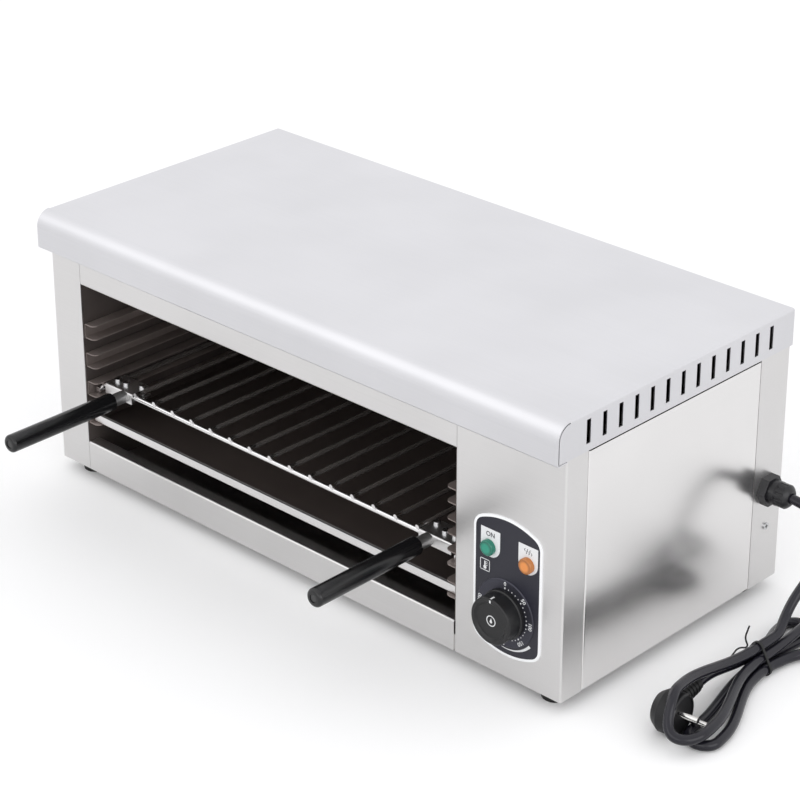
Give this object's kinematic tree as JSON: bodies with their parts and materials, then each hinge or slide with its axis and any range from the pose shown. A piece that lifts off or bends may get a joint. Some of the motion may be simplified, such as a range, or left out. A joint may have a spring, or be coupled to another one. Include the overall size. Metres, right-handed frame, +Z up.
{
  "type": "salamander grill",
  "caption": "Countertop electric salamander grill in brushed stainless steel, with a wire rack on guide channels, two black handles, a crumb tray, a dial and a tied supply cord.",
  "frame": {"origin": "centre of the footprint of the grill without its cord, from the cover to the gland and from the grips to the back, on the surface under the feet", "axes": "+X right seen from the front, +Y towards the back, +Z up"},
  "size_m": [0.7202, 0.4043, 0.256],
  "materials": {
    "stainless": "brushed",
    "chamber_steel": "satin, heat darkened",
    "element_sheath": "oxidised",
    "copper": "drawn",
    "panel_blue": "satin",
    "dial_metal": "spun",
    "bakelite": "moulded",
    "lamp_black": "moulded",
    "lens_green": "clear tinted",
    "lens_orange": "clear tinted",
    "rubber_black": "matte",
    "zinc": "bright plated",
    "block_white": "moulded",
    "wire_sheath": "extruded",
    "gland_grey": "moulded",
    "cord_rubber": "extruded",
    "tie_black": "coated wire",
    "plug_black": "moulded",
    "nickel": "nickel plated",
    "chrome_wire": "chrome plated",
    "stem_grey": "satin",
    "grip_black": "moulded",
    "knob_black": "moulded"
  },
  "bodies": {
    "casing": {"top_cover": "stainless", "left_side_panel": "stainless", "right_side_panel": "stainless", "rear_casing": "stainless", "base_pan": "stainless", "left_front_post": "stainless", "control_fascia": "stainless", "top_front_rail": "stainless", "bottom_front_rail": "stainless", "left_cavity_wall": "chamber_steel", "right_cavity_wall": "chamber_steel", "cavity_back": "chamber_steel", "cavity_ceiling": "chamber_steel", "left_runners": "chamber_steel", "right_runners": "chamber_steel", "front_heating_element": "element_sheath", "rear_heating_element": "element_sheath", "thermostat_bulb": "copper", "element_hangers": "chamber_steel", "control_plate": "panel_blue", "dial_ring": "dial_metal", "thermostat_body": "bakelite", "power_lamp_body": "lamp_black", "power_lamp_lens": "lens_green", "heat_lamp_body": "lamp_black", "heat_lamp_lens": "lens_orange", "rubber_feet": "rubber_black", "foot_screws": "zinc", "casing_screws": "zinc", "terminal_block": "block_white", "earth_stud": "zinc", "inner_wiring": "wire_sheath", "cable_gland": "gland_grey", "gland_nut": "gland_grey", "power_cord": "cord_rubber", "cord_hank": "cord_rubber", "twist_tie": "tie_black", "plug_body": "plug_black", "plug_pins": "nickel", "plug_earth_clips": "nickel", "plug_strain_relief": "plug_black"},
    "rack": {"wire_rack": "chrome_wire", "left_handle_bracket": "stainless", "right_handle_bracket": "stainless", "clamp_plates": "stainless", "bracket_bolts": "zinc", "left_handle_stem": "stem_grey", "right_handle_stem": "stem_grey", "left_handle_grip": "grip_black", "right_handle_grip": "grip_black", "grip_end_screws": "zinc"},
    "tray": {"crumb_tray": "stainless"},
    "knob": {"control_knob": "knob_black", "knob_spindle": "zinc"}
  },
  "joints": [
    {"name": "rack_slide", "type": "slide", "parent": "casing", "child": "rack", "axis": [0, -1, 0], "range_m": [0, 0.2]},
    {"name": "tray_slide", "type": "slide", "parent": "casing", "child": "tray", "axis": [0, -1, 0], "range_m": [0, 0.2]},
    {"name": "knob_turn", "type": "hinge", "parent": "casing", "child": "knob", "pos_m": [0.23075, -0.09, 0.0695], "axis": [0, 1, 0], "range_deg": [0, 280]}
  ]
}
